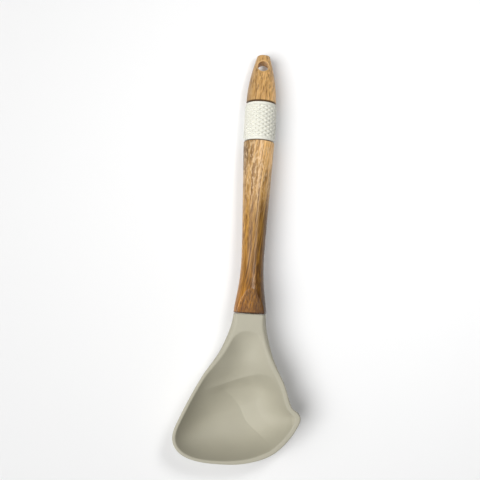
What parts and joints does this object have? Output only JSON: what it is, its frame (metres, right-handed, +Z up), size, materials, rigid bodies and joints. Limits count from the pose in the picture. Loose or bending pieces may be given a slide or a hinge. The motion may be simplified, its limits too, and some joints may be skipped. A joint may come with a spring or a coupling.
{
  "type": "serving spoon",
  "caption": "Serving spoon with a turned wood handle, a studded grip sleeve, a hanging hole and an asymmetric silicone bowl with a side pouring beak.",
  "frame": {"origin": "middle of the floor under the spoon's bounding box, as it lies bowl upwards", "axes": "+Y from the bowl along the handle to its hanging end, +X to the side of the pouring beak, +Z up out of the bowl"},
  "size_m": [0.1018, 0.3354, 0.0328],
  "materials": {
    "wood": "satin oiled hardwood, golden brown, with dark pores along the grain",
    "grip_silicone": "matt cream silicone, moulded with studs",
    "head_silicone": "matt grey-beige silicone",
    "nylon": "natural white moulded nylon"
  },
  "bodies": {
    "root": {"wood_handle": "wood", "grip_sleeve": "grip_silicone", "silicone_head": "head_silicone", "head_core": "nylon"}
  },
  "joints": []
}
